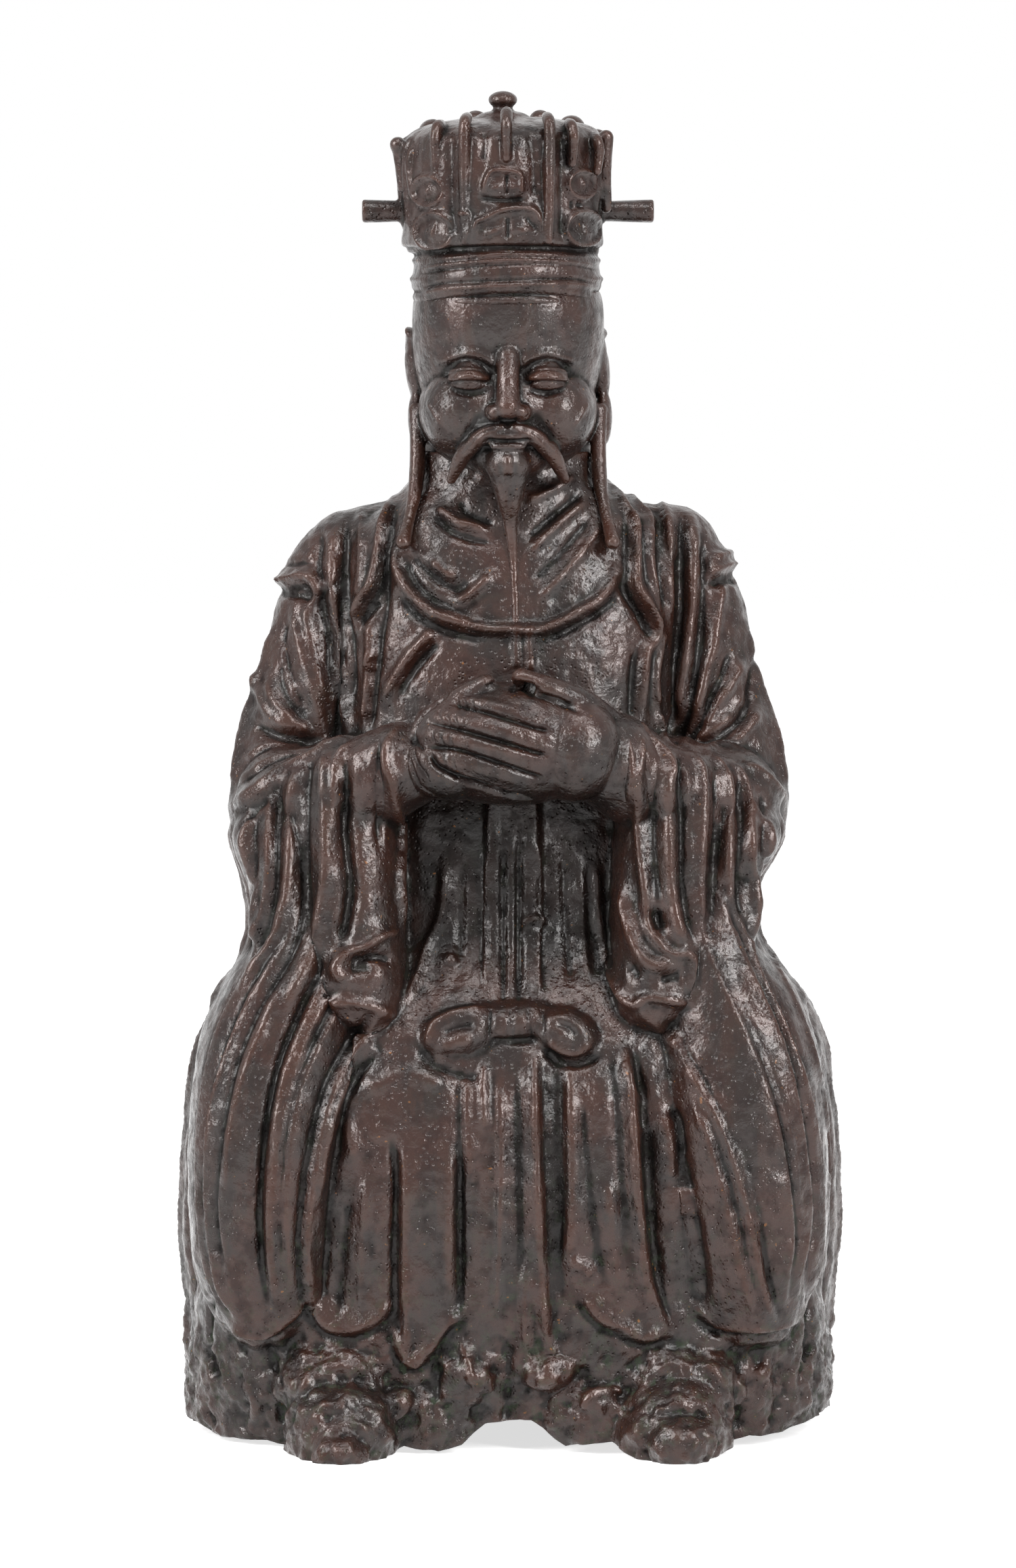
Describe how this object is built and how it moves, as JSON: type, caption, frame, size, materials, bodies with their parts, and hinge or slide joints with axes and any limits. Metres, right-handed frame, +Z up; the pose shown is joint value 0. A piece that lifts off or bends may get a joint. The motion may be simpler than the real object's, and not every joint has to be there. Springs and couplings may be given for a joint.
{
  "type": "bronze immortal figure",
  "caption": "Seated robed figure of an immortal with clasped hands, pointed beard and tall ribbed crown, a hollow bronze casting open underneath.",
  "frame": {"origin": "on the floor, under the middle of the figure's bounding box", "axes": "+Z up along the figure's height, -Y the way it faces, +X to the right of someone who faces it"},
  "size_m": [0.1308, 0.0974, 0.262],
  "materials": {
    "bronze": "dark brown patinated cast bronze"
  },
  "bodies": {
    "root": {"bronze_figure": "bronze"}
  },
  "joints": []
}
